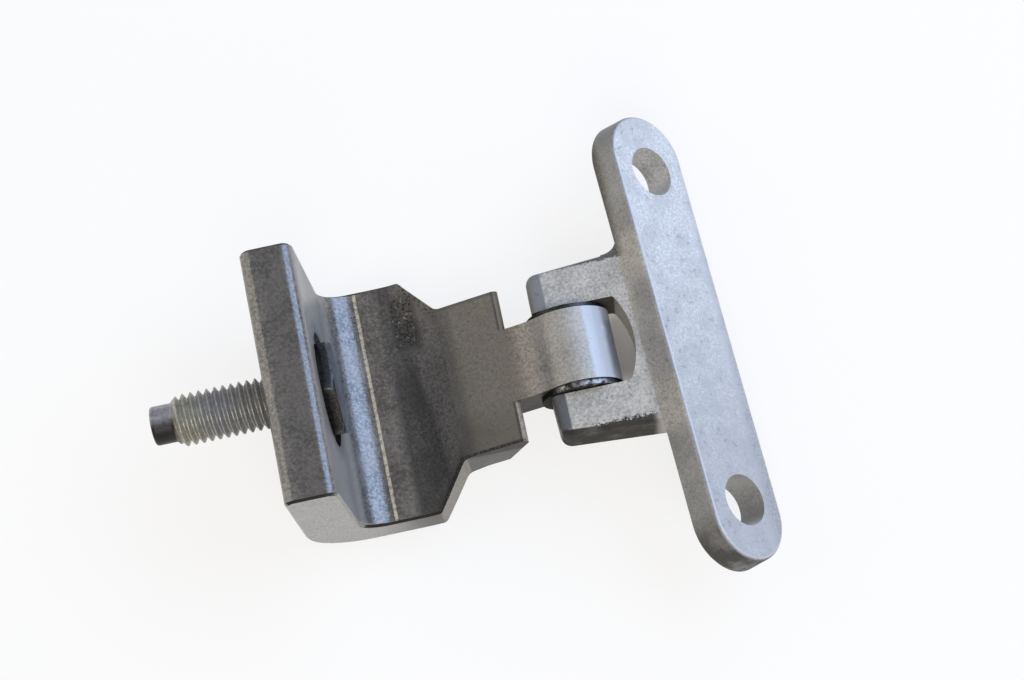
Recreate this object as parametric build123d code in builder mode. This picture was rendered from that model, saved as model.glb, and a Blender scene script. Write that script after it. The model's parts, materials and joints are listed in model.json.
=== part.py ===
from build123d import *
from math import atan2, cos, degrees, radians, sin, sqrt, tan
import os

# Trunk lid hinge, in millimetres. The origin is where the stud's axis meets the seat face of the
# stud leaf. X runs from the seat towards the plate leaf, Y along the hinge pin, Z up.

# Hinge axis, measured from the origin
hinge_reach = 46.1
hinge_drop = 9.9

# Stud leaf: lip, groove, neck, tongue and knuckle
lip_width = 39.0
lip_rise = 13.6
lip_top_thickness = 8.0
lip_draft = 1.5
lip_end_draft = 1.4
lip_edge_radius = 1.8
lip_corner_radius = 1.0
heel_radius = 10.0
groove_depth = 14.1
groove_radius = 4.2
leaf_thickness = 7.5
ramp_gap = 25.2
ramp_angle = 33.0
ramp_rise = 3.6
ramp_hollow_radius = 9.0
ramp_crown_radius = 12.0
neck_width = 24.7
neck_corner_radius = 1.6
taper_gap = 25.2
taper_length = 5.5
shoulder_gap = 8.8
shoulder_rise = 2.95
shoulder_slant = 66.0
shoulder_radius = 0.9
tongue_width = 11.7
tongue_overlap = 0.6
tongue_hollow_radius = 12.0
knuckle_radius = 6.7
leaf_edge_chamfer = 0.4

# Clamp stud: metric thread of 8, thin hexagon head, dog point
thread_radius = 4.0
thread_length = 15.2
shank_radius = 4.6
dog_radius = 3.0
dog_length = 3.0
dog_cone = 0.5
head_flats = 14.0
head_height = 2.4
head_turn = 15.0
head_sink = 0.3
head_room = 0.8

# Hinge pin and flanged bushes
pin_radius = 3.0
pin_cover = 1.5
peen_height = 0.5
bush_wall = 1.0
bush_clearance = 0.03
bush_gap = 0.5
flange_inset = 0.5
flange_thickness = 0.8
ear_clearance = 0.2

# Plate leaf: bar
bar_length = 73.8
bar_width = 14.8
bar_thickness = 5.1
bar_draft = 4.0
bar_reach = 19.4
bar_lift = 2.3
bar_shift = -1.1
bar_turn = 44.5
bar_tilt = 1.2
bar_skew = 2.4
bar_edge_radius = 0.7
bar_back_chamfer = 0.5
hole_radius = 4.1
hole_spacing = 54.6

# Plate leaf: clevis
ear_width = 6.2
ear_flare = 4.0
ear_half_height = 4.45
ear_nose = 5.0
nose_corner_radius = 1.8
ear_edge_radius = 1.3
root_gap = 0.6
root_angle = 37.0
root_height = 2.0
root_fillet = 4.0
root_sink = 1.5
slot_reach = 7.8
slot_bulge = 1.9
slot_corner_radius = 0.8

# Room that cutting shapes run past the solids, and the rise of a direction that counts as upright
cut_room = 5.0
upright = 0.85

# Worked out from the values above
floor_z = -groove_depth
under_z = floor_z - leaf_thickness
hinge = Vector(hinge_reach, 0, -hinge_drop)
slot_width = tongue_width + 2 * (flange_thickness + ear_clearance)
ear_span = slot_width + 2 * ear_width
pin_start = pin_cover - ear_span / 2
pin_end = ear_span / 2 + peen_height
bush_radius = pin_radius + bush_clearance + bush_wall


def below(point, slope_before, slope_after):
    """Corner of the leaf's underside below a corner of its top, one leaf thickness away."""
    middle = radians((slope_before + slope_after) / 2)
    spread = leaf_thickness / cos(radians((slope_after - slope_before) / 2))
    return (point[0] + spread * sin(middle), point[1] - spread * cos(middle))


# Side profile of the stud leaf, as points of X and Z
lip_top = (lip_top_thickness, lip_rise)
groove_corner = (lip_top_thickness + (lip_rise - floor_z) * tan(radians(lip_draft)), floor_z)
ramp_foot = (hinge.X - ramp_gap, floor_z)
ramp_head = (ramp_foot[0] + ramp_rise / tan(radians(ramp_angle)), floor_z + ramp_rise)
shoulder_top = (hinge.X - shoulder_gap, hinge.Z + shoulder_rise)
neck_angle = degrees(atan2(shoulder_top[1] - ramp_head[1], shoulder_top[0] - ramp_head[0]))
slant_length = leaf_thickness / sin(radians(shoulder_slant - neck_angle))
shoulder_foot = (
    shoulder_top[0] - slant_length * cos(radians(shoulder_slant)),
    shoulder_top[1] - slant_length * sin(radians(shoulder_slant)),
)
under_head = below(ramp_head, ramp_angle, neck_angle)
under_foot = below(ramp_foot, 0, ramp_angle)

# The tongue carries the neck's top and underside on into the knuckle
tongue_end = hinge.X - tongue_overlap * knuckle_radius
tongue_top = (tongue_end, shoulder_top[1] + (tongue_end - shoulder_top[0]) * tan(radians(neck_angle)))
under_reach = hinge.X - under_head[0]
tongue_under = (hinge.X, under_head[1] + under_reach * tan(radians(neck_angle)))

# Stud leaf: the leaf and its chamfers, then the tongue, then the bores
with BuildPart() as stud_leaf:
    with BuildSketch(Plane.XZ) as leaf_side:
        with BuildLine():
            Polyline(
                (0, under_z),
                (0, lip_rise),
                lip_top,
                groove_corner,
                ramp_foot,
                ramp_head,
                shoulder_top,
                shoulder_foot,
                under_head,
                under_foot,
                close=True,
            )
        make_face()

        def side_corner(point):
            """Corner of the side profile nearest to a point."""
            return leaf_side.vertices().sort_by_distance(Vector(point[0], point[1]))[0]

        fillet(side_corner((0, under_z)), heel_radius)
        fillet([side_corner((0, lip_rise)), side_corner(lip_top)], lip_edge_radius)
        fillet(side_corner(groove_corner), groove_radius)
        fillet(side_corner(ramp_foot), ramp_hollow_radius)
        fillet(side_corner(under_foot), ramp_hollow_radius + leaf_thickness)
        fillet(side_corner(ramp_head), ramp_crown_radius)
        fillet(side_corner(shoulder_top), shoulder_radius)
    extrude(amount=lip_width / 2, both=True)
    draft(stud_leaf.faces().filter_by(Axis.Y), Plane.XY, -lip_end_draft)
    lip_ends = [f for f in stud_leaf.faces() if abs(f.normal_at().Y) > upright]
    chamfer([e for f in lip_ends for e in f.edges()], leaf_edge_chamfer)
    taper_start = hinge_reach - taper_gap
    taper_end = taper_start + taper_length
    taper_side = (lip_width - neck_width) / 2
    wide_start = taper_start - cut_room * taper_length / taper_side
    wide_side = lip_width / 2 + cut_room
    with BuildSketch(Plane.XY) as leaf_plan:
        with BuildLine():
            Polyline(
                (-cut_room, -wide_side),
                (wide_start, -wide_side),
                (taper_end, -neck_width / 2),
                (hinge_reach, -neck_width / 2),
                (hinge_reach, neck_width / 2),
                (taper_end, neck_width / 2),
                (wide_start, wide_side),
                (-cut_room, wide_side),
                close=True,
            )
        make_face()
        necks = [v for v in leaf_plan.vertices() if taper_start < v.X < hinge_reach]
        fillet(necks, neck_corner_radius)
    extrude(amount=lip_rise + groove_depth + leaf_thickness + cut_room, both=True, mode=Mode.INTERSECT)
    lip_corners = [e for e in stud_leaf.edges() if abs((e % 0.5).Z) > upright and (e @ 0.5).X > taper_start]
    fillet([e for e in lip_corners if abs((e @ 0.5).Y) > (lip_width + neck_width) / 4], lip_corner_radius)
    with BuildSketch(Plane.XZ) as tongue_side:
        with BuildLine():
            Polyline(tongue_top, ramp_head, under_head, tongue_under, (hinge.X, hinge.Z), close=True)
        make_face()
        with Locations((hinge.X, hinge.Z)):
            Circle(knuckle_radius)
        crease = tongue_side.vertices().sort_by_distance(Vector(*tongue_top))[0]
        fillet(crease, tongue_hollow_radius)
    extrude(amount=tongue_width / 2, both=True)
    with Locations(Location(hinge, (90, 0, 0))):
        Cylinder(bush_radius, tongue_width, mode=Mode.SUBTRACT)

    # Stud hole through the lip, with a flat seat for the head
    head_corner = head_flats / sqrt(3)
    head_seat = lip_top_thickness - head_sink
    with BuildSketch(Plane.YZ):
        Circle(shank_radius)
    extrude(amount=head_seat + cut_room, mode=Mode.SUBTRACT)
    with BuildSketch(Plane.YZ.offset(head_seat)):
        Circle(head_corner + head_room)
    extrude(amount=groove_radius, mode=Mode.SUBTRACT)
stud_leaf.part.label = "stud_leaf"

# Clamp stud
with BuildPart() as clamp_stud:
    with BuildSketch(Plane.YZ.offset(head_seat)):
        RegularPolygon(head_flats / 2, 6, major_radius=False, rotation=head_turn)
    extrude(amount=head_height)
    with BuildSketch(Plane.XZ):
        with BuildLine():
            Polyline(
                (head_seat, 0),
                (head_seat, shank_radius),
                (0, shank_radius),
                (0, thread_radius),
                (-thread_length, thread_radius),
                (-thread_length - dog_cone, dog_radius),
                (-thread_length - dog_cone - dog_length, dog_radius),
                (-thread_length - dog_cone - dog_length, 0),
                close=True,
            )
        make_face()
    revolve(axis=Axis.X)
clamp_stud.part.label = "clamp_stud"

# Hinge pin, lying along Y, in a blind hole of the near ear and peened at the far one
with BuildPart() as hinge_pin:
    with Locations(Location(hinge + Vector(0, (pin_start + pin_end) / 2, 0), (90, 0, 0))):
        Cylinder(pin_radius, pin_end - pin_start)
    chamfer(hinge_pin.edges().filter_by(GeomType.CIRCLE), peen_height)
hinge_pin.part.label = "hinge_pin"


def make_bush(side):
    """Flanged bush, pressed into the knuckle from the side with that sign of Y."""
    bore = pin_radius + bush_clearance
    face = tongue_width / 2
    with BuildPart() as bush:
        with BuildSketch(Plane.YZ.offset(hinge.X)):
            with BuildLine():
                Polyline(
                    (side * bush_gap / 2, hinge.Z + bore),
                    (side * bush_gap / 2, hinge.Z + bush_radius),
                    (side * face, hinge.Z + bush_radius),
                    (side * face, hinge.Z + knuckle_radius - flange_inset),
                    (side * (face + flange_thickness), hinge.Z + knuckle_radius - flange_inset),
                    (side * (face + flange_thickness), hinge.Z + bore),
                    close=True,
                )
            make_face()
        revolve(axis=Axis(hinge, (0, 1, 0)))
    return bush.part


bush_left = make_bush(-1)
bush_left.label = "bush_left"
bush_right = make_bush(1)
bush_right.label = "bush_right"

# The bar's front face: turned about Y, tilted along its length, then skewed in its own plane
turn = radians(bar_turn)
tilt = radians(bar_tilt)
bar_across = Vector(cos(turn), 0, -sin(turn))
bar_normal = Vector(sin(turn) * cos(tilt), sin(tilt), cos(turn) * cos(tilt))
bar_centre = hinge + Vector(bar_reach, bar_shift, bar_lift)
bar_along = bar_normal.cross(bar_across)
skew = radians(bar_skew)
bar_face = Plane(bar_centre, x_dir=bar_across * cos(skew) + bar_along * sin(skew), z_dir=bar_normal)


def on_bar(x, z):
    """Places across and above the bar's face of a point of X and Z."""
    east = x - bar_centre.X
    north = z - bar_centre.Z
    return (east * cos(turn) - north * sin(turn), east * sin(turn) + north * cos(turn))


# Side profile of the clevis, square to the bar's length. The ears' top rises in a soft root to the bar's
# side wall and crosses it, and their underside sinks into the bar's back.
ear_top = hinge.Z + ear_half_height
ear_foot = hinge.Z - ear_half_height
nose_x = hinge.X - ear_nose
wall_x = bar_centre.X - (bar_width / 2 - (ear_top - bar_centre.Z) * sin(turn)) / cos(turn)
back_x = bar_centre.X + ((bar_centre.Z - ear_foot) * cos(turn) - bar_thickness + root_sink) / sin(turn)
root_run = root_height / tan(radians(root_angle))
root_start = on_bar(wall_x - root_gap, ear_top)
root_x = wall_x - root_gap + root_run
root_end = on_bar(root_x, ear_top + root_height)
root_plane = Plane(bar_centre, x_dir=bar_face.x_dir, z_dir=bar_face.x_dir.cross(bar_normal))

with BuildPart() as clevis:
    with BuildSketch(root_plane) as ear_side:
        with BuildLine():
            Polyline(
                on_bar(nose_x, ear_foot),
                on_bar(nose_x, ear_top),
                root_start,
                root_end,
                on_bar(back_x, ear_foot),
                close=True,
            )
        make_face()
        root_corner = root_plane.from_local_coords(Vector(*root_start))
        fillet(ear_side.vertices().sort_by_distance(root_corner)[0], root_fillet)
    extrude(amount=ear_span, both=True)
    wide_x = hinge.X + bar_length / 2
    wide_y = ear_span / 2 + (wide_x - nose_x) * tan(radians(ear_flare))
    with BuildSketch(Plane.XY):
        with BuildLine():
            Polyline(
                (nose_x, -ear_span / 2),
                (nose_x, ear_span / 2),
                (wide_x, wide_y),
                (wide_x, -wide_y),
                close=True,
            )
        make_face()
    extrude(amount=bar_length, both=True, mode=Mode.INTERSECT)
    nose_edges = [e for e in clevis.edges() if (e @ 0.5).X < hinge.X and abs((e % 0.5).Z) > upright]
    fillet(nose_edges, nose_corner_radius)
    rims = [e for e in clevis.edges() if (e @ 0.5).X < root_x and abs((e % 0.5).Z) < upright]
    side_y = ear_span / 2 - nose_corner_radius
    outer_rims = [e for e in rims if abs((e @ 0.5).Y) > side_y or (e @ 0.5).X < hinge.X]
    fillet(outer_rims, ear_edge_radius)

with BuildPart() as plate_leaf:
    with BuildSketch(bar_face):
        SlotOverall(bar_length, bar_width, rotation=90)
    extrude(amount=-bar_thickness, taper=-bar_draft)
    bar_faces = plate_leaf.faces().sort_by(Axis(bar_centre, bar_normal))
    fillet(bar_faces[-1].edges(), bar_edge_radius)
    chamfer(bar_faces[0].edges(), bar_back_chamfer)
    add(clevis.part)
    with BuildSketch(Plane.XY) as slot_plan:
        slot_end = hinge.X + slot_reach
        with BuildLine():
            Polyline(
                (slot_end, -slot_width / 2),
                (hinge.X - 2 * ear_nose, -slot_width / 2),
                (hinge.X - 2 * ear_nose, slot_width / 2),
                (slot_end, slot_width / 2),
            )
            slot_crown = (slot_end + slot_bulge, 0)
            ThreePointArc((slot_end, slot_width / 2), slot_crown, (slot_end, -slot_width / 2))
        make_face()
        fillet([v for v in slot_plan.vertices() if v.X > hinge.X], slot_corner_radius)
    extrude(amount=lip_rise + groove_depth + leaf_thickness, both=True, mode=Mode.SUBTRACT)
    with Locations(Location(hinge + Vector(0, pin_start + ear_span, 0), (90, 0, 0))):
        Cylinder(pin_radius, 2 * ear_span, mode=Mode.SUBTRACT)
    with BuildSketch(bar_face):
        with GridLocations(0, hole_spacing, 1, 2):
            Circle(hole_radius)
    extrude(amount=-2 * bar_thickness, mode=Mode.SUBTRACT)
plate_leaf.part.label = "plate_leaf"

os.makedirs("parts", exist_ok=True)
for piece in (stud_leaf.part, clamp_stud.part, hinge_pin.part, bush_left, bush_right, plate_leaf.part):
    export_step(piece, f"parts/{piece.label}.step")
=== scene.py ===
"""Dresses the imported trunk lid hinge: stud thread, two hollow blends, metal finishes and a plain stage."""

import json
import math

import bmesh
import bpy
import numpy as np
from mathutils import Matrix, Vector


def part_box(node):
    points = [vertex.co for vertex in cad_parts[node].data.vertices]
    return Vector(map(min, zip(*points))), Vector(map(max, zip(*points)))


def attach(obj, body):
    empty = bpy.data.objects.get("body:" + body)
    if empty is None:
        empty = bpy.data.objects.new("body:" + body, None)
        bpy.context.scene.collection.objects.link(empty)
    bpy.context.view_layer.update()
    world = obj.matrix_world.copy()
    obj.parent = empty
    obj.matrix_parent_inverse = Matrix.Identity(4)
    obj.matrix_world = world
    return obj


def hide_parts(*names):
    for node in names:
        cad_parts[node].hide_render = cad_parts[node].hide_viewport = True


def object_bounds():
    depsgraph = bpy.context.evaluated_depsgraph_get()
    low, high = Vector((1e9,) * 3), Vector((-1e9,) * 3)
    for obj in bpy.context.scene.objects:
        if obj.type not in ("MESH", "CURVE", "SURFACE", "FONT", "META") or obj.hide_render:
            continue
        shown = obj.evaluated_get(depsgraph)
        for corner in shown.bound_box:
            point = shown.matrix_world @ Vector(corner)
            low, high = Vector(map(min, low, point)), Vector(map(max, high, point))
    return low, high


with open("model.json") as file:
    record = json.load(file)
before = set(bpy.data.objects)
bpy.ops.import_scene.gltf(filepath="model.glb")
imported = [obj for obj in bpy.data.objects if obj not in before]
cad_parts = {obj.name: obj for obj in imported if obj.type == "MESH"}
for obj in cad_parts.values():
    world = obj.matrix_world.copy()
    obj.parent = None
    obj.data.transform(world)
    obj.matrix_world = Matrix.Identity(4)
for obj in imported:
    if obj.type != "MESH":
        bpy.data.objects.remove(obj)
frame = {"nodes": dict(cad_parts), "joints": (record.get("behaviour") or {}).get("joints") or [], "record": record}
CAD_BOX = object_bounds()

bl_info = {
    "name": "Trunk Lid Hinge",
    "version": (1, 0, 0),
    "blender": (4, 5, 0),
    "location": "View3D > Sidebar > Hinge",
    "description": "Dresses a packed trunk lid hinge with its stud thread, metal finishes and stage",
    "category": "Object",
}

MM = 0.001

# Places and sizes that the frame gives.
MOUNTS = {mount["name"]: mount for mount in frame["record"]["mounts"]}
THREAD_RADIUS = MOUNTS["stud"]["dims"]["r_mm"] * MM
THREAD_LENGTH = MOUNTS["stud"]["dims"]["length_mm"] * MM
BAR_NORMAL = Vector(MOUNTS["bar_face"]["axis"]).normalized()
BAR_CENTRE = Vector(MOUNTS["bar_face"]["pos_m"])
BAR_ALONG = (Vector((0, 1, 0)) - BAR_NORMAL.y * BAR_NORMAL).normalized()
BAR_ACROSS = BAR_ALONG.cross(BAR_NORMAL)
HINGE = Vector(frame["joints"][0]["pos_m"])
STUD_BOX = [Vector(corner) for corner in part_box("clamp_stud")]

# Meshes: the angle from which an edge is sharp, the gap that is merged, and the points round a turned ring.
SHARP_ANGLE = math.radians(40)
MERGE_DISTANCE = 1e-8
RING_POINTS = 96

# The stud: thread depth over pitch, flat share of a flank, rings, the end's first ring over its radius, and
# the lengths of the small forms.
THREAD_DEPTH = 0.6134
THREAD_FLAT = 0.16
THREAD_RINGS, DOG_RINGS, END_RINGS = 330, 40, 6
END_SHARE = 0.82
RING_GAP = 0.02 * MM
SHANK_SUNK = 0.4 * MM
CONE_START = 0.9 * MM
CONE_LENGTH = 1.2 * MM
THREAD_RUN_OUT = 0.3 * MM
TIP_ROUND = 0.5 * MM

# The stud's head: width of its chamfered crown over the flats, and the height of the chamfer.
CROWN_SHARE = 1.06
HEAD_CHAMFER = 0.5 * MM

# The groove's blend: steps round its arc and along it, how deep its back is sunk, how far it stands proud.
ARC_STEPS, BLEND_STEPS = 33, 41
BLEND_SUNK = 0.6 * MM
BLEND_PROUD = 0.01 * MM

# The ear's web: steps round its arc, its rings' drop below its top, and how far each ring is drawn in to the
# middle of its wall.
WEB_STEPS = 17
WEB_DROP = np.array([0, 0, 0.1, 0.35, 0.8, 2.0, 4.0, 6.0, 7.6, 7.6]) * MM
WEB_DRAW = np.array([1, 0.3, 0.12, 0.03, 0, 0, 0, 0, 0, 1])[:, None]


class HingeStudSettings(bpy.types.PropertyGroup):
    """Sizes of the clamp stud that the solids leave plain."""

    pitch: bpy.props.FloatProperty(
        name="Pitch", description="Thread pitch", default=1.25 * MM, min=0.5 * MM, unit="LENGTH", precision=5
    )
    dog_radius: bpy.props.FloatProperty(
        name="Dog radius", description="Radius of the plain point",
        default=3.0 * MM, unit="LENGTH", precision=5,
    )
    head_flats: bpy.props.FloatProperty(
        name="Head flats", description="Hexagon head across flats",
        default=14.0 * MM, unit="LENGTH", precision=5,
    )
    head_height: bpy.props.FloatProperty(
        name="Head height", description="Thickness of the head", default=2.4 * MM, unit="LENGTH", precision=5
    )
    head_turn: bpy.props.FloatProperty(
        name="Head turn", description="Turn of the hexagon about the stud",
        default=math.radians(15), subtype="ANGLE",
    )


class HingeLeafSettings(bpy.types.PropertyGroup):
    """Sizes of the hollow blend at the foot of the stud leaf's lip."""

    floor: bpy.props.FloatProperty(
        name="Floor", description="Height of the groove's floor",
        default=-14.1 * MM, unit="LENGTH", precision=5,
    )
    blend_end: bpy.props.FloatProperty(
        name="Blend end", description="Where the blend runs out on the floor",
        default=14.05 * MM, unit="LENGTH", precision=5,
    )
    blend_radius: bpy.props.FloatProperty(
        name="Blend radius", description="Radius of the hollow blend",
        default=5.46 * MM, unit="LENGTH", precision=5,
    )
    blend_angle: bpy.props.FloatProperty(
        name="Blend angle", description="Turn of the blend from floor to wall",
        default=math.radians(88.4), subtype="ANGLE",
    )
    blend_half_width: bpy.props.FloatProperty(
        name="Blend half width", description="Half the blend's length",
        default=18.76 * MM, unit="LENGTH", precision=5,
    )


class HingePlateSettings(bpy.types.PropertyGroup):
    """Sizes of the hollow web between the plate leaf's far ear and its bar."""

    web_reach: bpy.props.FloatProperty(
        name="Web reach", description="From the hinge pin to the web's corner",
        default=10.1 * MM, unit="LENGTH", precision=5,
    )
    web_side: bpy.props.FloatProperty(
        name="Web side", description="Where the ear's side is", default=13.95 * MM, unit="LENGTH", precision=5
    )
    web_top: bpy.props.FloatProperty(
        name="Web top", description="Height of the web's top", default=-5.75 * MM, unit="LENGTH", precision=5
    )
    web_radius: bpy.props.FloatProperty(
        name="Web radius", description="Radius of the hollow", default=2.8 * MM, unit="LENGTH", precision=5
    )
    web_sunk: bpy.props.FloatProperty(
        name="Web sink", description="How far the web's back sits in the ear and bar",
        default=0.7 * MM, unit="LENGTH", precision=5,
    )
    web_slope: bpy.props.FloatProperty(
        name="Web slope", description="Run of the bar's back for each rise", default=1.016
    )


class HingeFinishSettings(bpy.types.PropertyGroup):
    """Main colours of the finishes."""

    leaf_colour: bpy.props.FloatVectorProperty(
        name="Leaf steel", description="Satin steel of the stud leaf",
        default=(0.25, 0.238, 0.222), subtype="COLOR",
    )
    # This colour also paints shade: on the stud leaf's ramp, round the stud's head and on the slot's inner walls.
    grime_and_shade_colour: bpy.props.FloatVectorProperty(
        name="Grime", description="Oily dirt in hollows", default=(0.035, 0.031, 0.027), subtype="COLOR"
    )
    zinc_colour: bpy.props.FloatVectorProperty(
        name="Zinc face", description="Bright cast zinc of the bar's face",
        default=(0.75, 0.742, 0.725), subtype="COLOR",
    )
    cast_colour: bpy.props.FloatVectorProperty(
        name="Cast ears", description="Sandy cast ears of the plate leaf",
        default=(0.47, 0.435, 0.375), subtype="COLOR",
    )
    stud_colour: bpy.props.FloatVectorProperty(
        name="Stud zinc", description="Plated thread of the stud",
        default=(0.36, 0.356, 0.348), subtype="COLOR",
    )
    tip_colour: bpy.props.FloatVectorProperty(
        name="Stud tip", description="Blackened side of the stud's point",
        default=(0.024, 0.023, 0.021), subtype="COLOR",
    )


class HingeStageSettings(bpy.types.PropertyGroup):
    """Camera, lamps and room light."""

    eye: bpy.props.FloatVectorProperty(
        name="Eye", description="Camera place", default=(0.03723, -0.11566, 0.37839), subtype="TRANSLATION"
    )
    aim: bpy.props.FloatVectorProperty(
        name="Aim", description="Point at the picture's middle",
        default=(0.03729, 0.00315, -0.005), subtype="TRANSLATION",
    )
    roll: bpy.props.FloatProperty(
        name="Roll", description="Turn of the camera about its view",
        default=math.radians(-12.019), subtype="ANGLE",
    )
    focal_px: bpy.props.FloatProperty(
        name="Focal length", description="Focal length in pixels of a 1024 pixel wide picture", default=2609.5
    )
    sky_colour: bpy.props.FloatVectorProperty(
        name="Window light", description="Cool light from the right",
        default=(0.42, 0.61, 1.0), subtype="COLOR",
    )
    sky_power: bpy.props.FloatProperty(
        name="Window power", description="Power of the right lamp", default=7.8
    )
    fill_power: bpy.props.FloatProperty(
        name="Fill power", description="Power of the left lamp", default=1.6
    )
    front_power: bpy.props.FloatProperty(
        name="Front power", description="Power of the front lamp", default=4.0
    )
    room_light: bpy.props.FloatProperty(
        name="Room light", description="Strength of the even room light", default=0.33
    )


def grid_faces(rows, columns):
    """Quads of a grid that closes round its columns: row r and column c meet the next ones."""
    r, c = np.meshgrid(np.arange(rows - 1), np.arange(columns), indexing="ij")
    n = (c + 1) % columns
    corners = [r * columns + c, r * columns + n, (r + 1) * columns + n, (r + 1) * columns + c]
    return np.stack(corners, -1).reshape(-1, 4)


def add_mesh(name, points, quads, material_index=None):
    """Makes an object at the origin from arrays of points and quads, smooth shaded, with its poles merged."""
    mesh = bpy.data.meshes.new(name)
    mesh.from_pydata(points.tolist(), [], quads.tolist())
    mesh.polygons.foreach_set("use_smooth", np.ones(len(mesh.polygons), dtype=bool))
    if material_index is not None:
        mesh.polygons.foreach_set("material_index", material_index.astype(np.int32))
    shape = bmesh.new()
    shape.from_mesh(mesh)
    bmesh.ops.remove_doubles(shape, verts=shape.verts, dist=MERGE_DISTANCE)
    shape.to_mesh(mesh)
    shape.free()
    mesh.set_sharp_from_angle(angle=SHARP_ANGLE)
    piece = bpy.data.objects.new(name, mesh)
    bpy.context.scene.collection.objects.link(piece)
    return piece


def turned_surface(along, radius, angles):
    """Points at distance radius r from the stud's axis at place x along it: (x, r sin a, r cos a)."""
    x = np.broadcast_to(along[:, None], radius.shape)
    return np.stack([x, radius * np.sin(angles), radius * np.cos(angles)], -1).reshape(-1, 3)


def thread_radius(x, angles, stud):
    """Radius of a thread: a triangle wave of x over the pitch plus the turn, flat at crest and root."""
    depth = THREAD_DEPTH * stud.pitch
    phase = np.mod(x[:, None] / stud.pitch + angles[None, :] / (2 * np.pi), 1.0)
    wave = np.clip((1 + 2 * THREAD_FLAT) * np.abs(2 * phase - 1) - THREAD_FLAT, 0.0, 1.0)
    return THREAD_RADIUS - depth * wave


def stud_arrays(stud):
    """Shank, thread and dog point as one surface of rings, closed at both ends.

    The radius is the thread's, held under a cone that falls to the point's radius, then the point's own.
    Near the tip it loses a quarter round: its size times one less the root of 1 - (1 - d) squared, where d is
    the distance from the tip over that size.
    """
    angles = np.linspace(0, 2 * np.pi, RING_POINTS, endpoint=False)
    tip = STUD_BOX[0].x
    threaded = np.linspace(SHANK_SUNK, -THREAD_LENGTH, THREAD_RINGS)
    x = np.concatenate([threaded, np.linspace(-THREAD_LENGTH - RING_GAP, tip, DOG_RINGS)])
    past_thread = -x - THREAD_LENGTH
    radius = thread_radius(x, angles, stud)
    down_cone = np.clip((past_thread + CONE_START) / CONE_LENGTH, 0.0, 1.0)[:, None]
    cone = THREAD_RADIUS + (stud.dog_radius - THREAD_RADIUS) * down_cone
    radius = np.minimum(radius, np.maximum(cone, stud.dog_radius))
    dog = np.clip(past_thread / THREAD_RUN_OUT, 0.0, 1.0)[:, None]
    radius = radius * (1 - dog) + stud.dog_radius * dog
    from_tip = np.clip((x - tip) / TIP_ROUND, 0.0, 1.0)[:, None]
    radius = radius - TIP_ROUND * (1 - np.sqrt(np.clip(1 - (1 - from_tip) ** 2, 0.0, 1.0)))
    inward = np.linspace(END_SHARE, 0.0, END_RINGS)[:, None] * radius[-1][None, :]
    radius = np.concatenate([0 * radius[:1], radius, inward])
    x = np.concatenate([x[:1], x, np.full(END_RINGS, tip)])
    return turned_surface(x, radius, angles[None, :]), grid_faces(len(x), len(angles))


def head_arrays(stud):
    """Hexagon head: rings of half the flats over the cosine of the turn from the nearest flat, chamfered."""
    angles = np.linspace(0, 2 * np.pi, RING_POINTS, endpoint=False)
    from_flat = np.mod(angles - stud.head_turn + np.pi / 6, np.pi / 3) - np.pi / 6
    hexagon = stud.head_flats / 2 / np.cos(from_flat)
    face = STUD_BOX[1].x
    seat = face - stud.head_height
    crown = np.minimum(hexagon, stud.head_flats / 2 * CROWN_SHARE)
    rings = [
        (seat, hexagon * 0.0),
        (seat, hexagon * 0.5),
        (seat, hexagon * 0.985),
        (seat + 0.15 * MM, hexagon),
        (face - HEAD_CHAMFER, hexagon),
        (face - HEAD_CHAMFER / 2, np.minimum(hexagon, crown + 0.4 * MM)),
        (face, crown - 0.1 * MM),
        (face, crown - 0.5 * MM),
        (face, crown * 0.5),
        (face, crown * 0.0),
    ]
    x = np.array([ring[0] for ring in rings])
    radius = np.stack([ring[1] for ring in rings])
    return turned_surface(x, radius, angles[None, :]), grid_faces(len(rings), RING_POINTS)[:, ::-1]


def blend_arrays(leaf):
    """Hollow blend of the groove: an arc from the floor up to the wall, carried along Y.

    At turn t the arc is at (end - r sin t, floor + r - r cos t). The back, sunk in the leaf, has an r that is
    larger by the root of a sine. Both ends close on the line midway between the arc and the back.
    """
    angles = np.linspace(0, leaf.blend_angle, ARC_STEPS)
    ends = leaf.blend_half_width
    places = np.concatenate([[-ends], np.linspace(-ends, ends, BLEND_STEPS), [ends]])
    sunk = BLEND_SUNK * np.sin(np.pi * np.linspace(0.04, 0.96, ARC_STEPS)) ** 0.5
    radius = np.concatenate([np.full(ARC_STEPS, leaf.blend_radius), (leaf.blend_radius + sunk)[::-1]])
    turn = np.concatenate([angles, angles[::-1]])
    loop = np.tile(radius, (len(places), 1))
    loop[[0, -1]] = leaf.blend_radius + np.concatenate([sunk, sunk[::-1]]) / 2
    x = leaf.blend_end - loop * np.sin(turn)
    z = leaf.floor + leaf.blend_radius - loop * np.cos(turn) + BLEND_PROUD
    y = np.broadcast_to(places[:, None], x.shape)
    return np.stack([x, y, z], -1).reshape(-1, 3), grid_faces(len(places), len(turn))[:, ::-1]


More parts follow.
